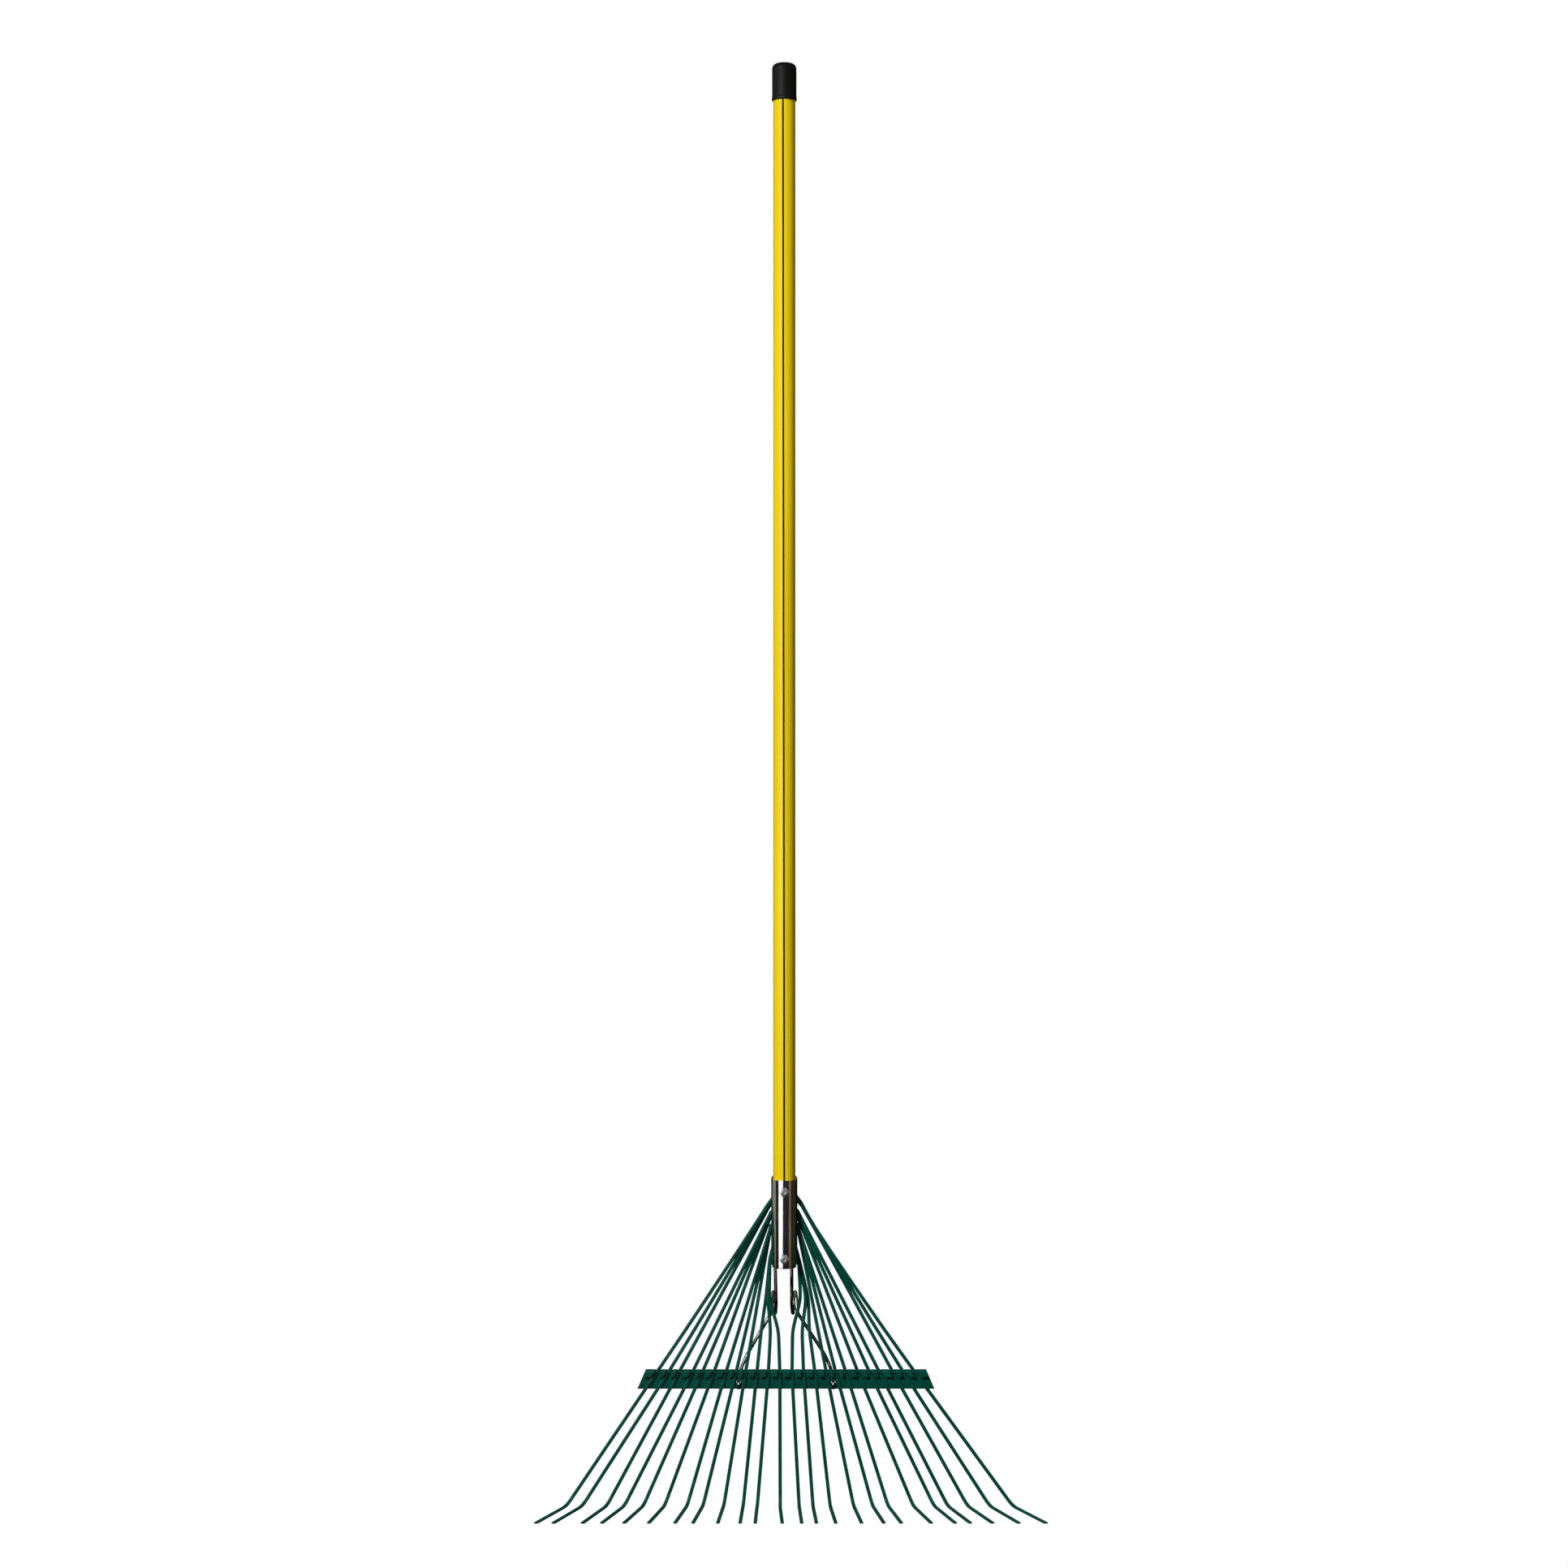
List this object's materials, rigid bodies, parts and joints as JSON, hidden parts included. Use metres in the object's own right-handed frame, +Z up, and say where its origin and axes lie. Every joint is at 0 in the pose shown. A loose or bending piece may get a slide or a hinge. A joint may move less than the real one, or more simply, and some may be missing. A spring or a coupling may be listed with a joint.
{
  "type": "leaf rake",
  "caption": "Leaf rake with a fan of flat spring tines held by a slotted crossbar and a coil-spring wire brace, clamped in a two-piece ferrule on a straight tubular handle with an end cap.",
  "frame": {"origin": "point on the handle's axis at the height of the lowest tine tips, where the rake's tips meet the ground", "axes": "+Z up along the handle from the tips to the end cap; -Y is the front, where the hooks point and the nuts face; +X is to the right when the front is seen"},
  "size_m": [0.576, 0.0945, 1.6479],
  "materials": {
    "yellow_fibreglass": "smooth gloss, with one black lengthwise stripe",
    "core_wood": "plain",
    "black_vinyl": "satin",
    "bright_plate": "bright nickel plate with drawing marks",
    "zinc_steel": "clear zinc plate",
    "green_paint": "semi-gloss enamel"
  },
  "bodies": {
    "root": {"handle_tube": "yellow_fibreglass", "handle_core": "core_wood", "end_cap": "black_vinyl", "ferrule_front": "bright_plate", "ferrule_rear": "bright_plate", "bolt_lower": "zinc_steel", "bolt_upper": "zinc_steel", "nut_lower": "zinc_steel", "nut_upper": "zinc_steel", "spring_brace": "bright_plate", "crossbar": "green_paint", "lock_rod": "green_paint", "tine_01": "green_paint", "tine_02": "green_paint", "tine_03": "green_paint", "tine_04": "green_paint", "tine_05": "green_paint", "tine_06": "green_paint", "tine_07": "green_paint", "tine_08": "green_paint", "tine_09": "green_paint", "tine_10": "green_paint", "tine_11": "green_paint", "tine_12": "green_paint", "tine_13": "green_paint", "tine_14": "green_paint", "tine_15": "green_paint", "tine_16": "green_paint", "tine_17": "green_paint", "tine_18": "green_paint", "tine_19": "green_paint", "tine_20": "green_paint", "tine_21": "green_paint", "tine_22": "green_paint", "tine_23": "green_paint", "tine_24": "green_paint"}
  },
  "joints": []
}
